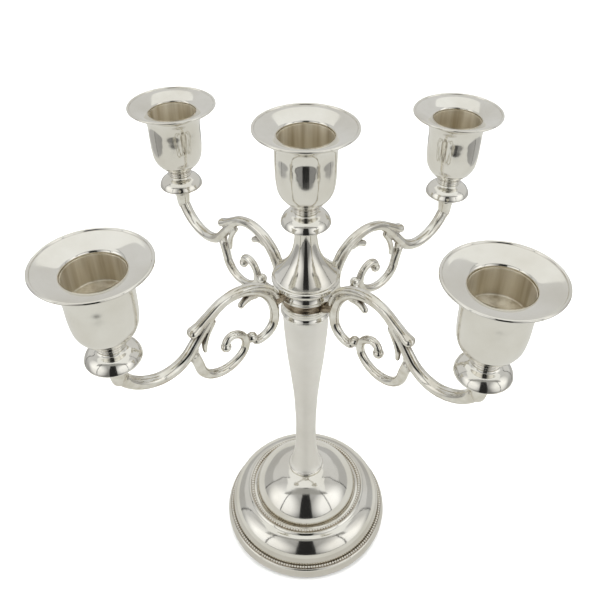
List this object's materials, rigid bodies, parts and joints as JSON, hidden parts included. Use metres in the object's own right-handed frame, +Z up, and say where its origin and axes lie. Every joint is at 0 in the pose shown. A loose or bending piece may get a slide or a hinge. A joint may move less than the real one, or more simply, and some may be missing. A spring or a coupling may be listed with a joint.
{
  "type": "tabletop candelabra",
  "caption": "Silver-plated table candelabra: stepped beaded base, tapering column, crossing pairs of scrolled arms, trumpet cone and flared candle cups that unscrew.",
  "frame": {"origin": "on the table, at the column's axis", "axes": "+Z up along the column; arms 1 and 3 lie near X, arms 2 and 4 near Y"},
  "size_m": [0.2358, 0.2358, 0.2622],
  "materials": {
    "polished_silver": "bright polished silver plate",
    "satin_silver": "satin silver plate",
    "beaded_silver": "polished silver plate, chased beads",
    "unpolished_silver": "matte unpolished plate",
    "tarnished_silver": "silver plate with dark tarnish",
    "dull_brass": "plain machined brass",
    "steel": "zinc-plated steel",
    "cast_weight": "rough casting",
    "felt": "dark felt"
  },
  "bodies": {
    "stand": {"felt_pad": "felt", "base_bottom_plate": "dull_brass", "base_weight": "cast_weight", "base_shell": "polished_silver", "lower_bead_ring": "beaded_silver", "upper_bead_ring": "beaded_silver", "column_foot": "polished_silver", "column": "satin_silver", "tie_rod": "steel", "tie_rod_nut": "steel", "tie_rod_washer": "steel", "hub_lower_plate": "polished_silver", "hub_top_plate": "polished_silver", "trumpet_cone": "polished_silver", "drip_collar_5": "polished_silver"},
    "lower_arms": {"lower_arm_ring": "tarnished_silver", "arm_1": "polished_silver", "arm_3": "polished_silver", "drip_collar_1": "polished_silver", "drip_collar_3": "polished_silver"},
    "upper_arms": {"upper_arm_ring": "tarnished_silver", "arm_2": "polished_silver", "arm_4": "polished_silver", "drip_collar_2": "polished_silver", "drip_collar_4": "polished_silver"},
    "screw_1": {"cup_stud_1": "dull_brass"},
    "cup_1": {"candle_cup_1": "polished_silver", "candle_socket_1": "unpolished_silver"},
    "screw_2": {"cup_stud_2": "dull_brass"},
    "cup_2": {"candle_cup_2": "polished_silver", "candle_socket_2": "unpolished_silver"},
    "screw_3": {"cup_stud_3": "dull_brass"},
    "cup_3": {"candle_cup_3": "polished_silver", "candle_socket_3": "unpolished_silver"},
    "screw_4": {"cup_stud_4": "dull_brass"},
    "cup_4": {"candle_cup_4": "polished_silver", "candle_socket_4": "unpolished_silver"},
    "screw_5": {"cup_stud_5": "dull_brass"},
    "cup_5": {"candle_cup_5": "polished_silver", "candle_socket_5": "unpolished_silver"}
  },
  "joints": [
    {"name": "crown_turn", "type": "hinge", "parent": "stand", "child": "lower_arms", "pos_m": [0, 0, 0.1727], "axis": [0, 0, 1], "continuous": true},
    {"name": "cross_set", "type": "hinge", "parent": "lower_arms", "child": "upper_arms", "pos_m": [0, 0, 0.1799], "axis": [0, 0, 1], "range_deg": [-45, 45]},
    {"name": "cup_1_rise", "type": "slide", "parent": "lower_arms", "child": "screw_1", "axis": [0, 0, 1], "range_m": [0, 0.005]},
    {"name": "cup_1_unscrew", "type": "hinge", "parent": "screw_1", "child": "cup_1", "pos_m": [0.09591, 0.00419, 0.1982], "axis": [0, 0, 1], "range_deg": [0, 1800]},
    {"name": "cup_2_rise", "type": "slide", "parent": "upper_arms", "child": "screw_2", "axis": [0, 0, 1], "range_m": [0, 0.005]},
    {"name": "cup_2_unscrew", "type": "hinge", "parent": "screw_2", "child": "cup_2", "pos_m": [0.00419, 0.09591, 0.1982], "axis": [0, 0, 1], "range_deg": [0, 1800]},
    {"name": "cup_3_rise", "type": "slide", "parent": "lower_arms", "child": "screw_3", "axis": [0, 0, 1], "range_m": [0, 0.005]},
    {"name": "cup_3_unscrew", "type": "hinge", "parent": "screw_3", "child": "cup_3", "pos_m": [-0.09591, -0.00419, 0.1982], "axis": [0, 0, 1], "range_deg": [0, 1800]},
    {"name": "cup_4_rise", "type": "slide", "parent": "upper_arms", "child": "screw_4", "axis": [0, 0, 1], "range_m": [0, 0.005]},
    {"name": "cup_4_unscrew", "type": "hinge", "parent": "screw_4", "child": "cup_4", "pos_m": [-0.00419, -0.09591, 0.1982], "axis": [0, 0, 1], "range_deg": [0, 1800]},
    {"name": "cup_5_rise", "type": "slide", "parent": "stand", "child": "screw_5", "axis": [0, 0, 1], "range_m": [0, 0.005]},
    {"name": "cup_5_unscrew", "type": "hinge", "parent": "screw_5", "child": "cup_5", "pos_m": [0, 0, 0.2202], "axis": [0, 0, 1], "range_deg": [0, 1800]}
  ],
  "couplings": [
    {"joint": "cup_1_unscrew", "follows": "cup_1_rise", "rad_per_m": 6276.9},
    {"joint": "cup_2_unscrew", "follows": "cup_2_rise", "rad_per_m": 6276.9},
    {"joint": "cup_3_unscrew", "follows": "cup_3_rise", "rad_per_m": 6276.9},
    {"joint": "cup_4_unscrew", "follows": "cup_4_rise", "rad_per_m": 6276.9},
    {"joint": "cup_5_unscrew", "follows": "cup_5_rise", "rad_per_m": 6276.9}
  ]
}
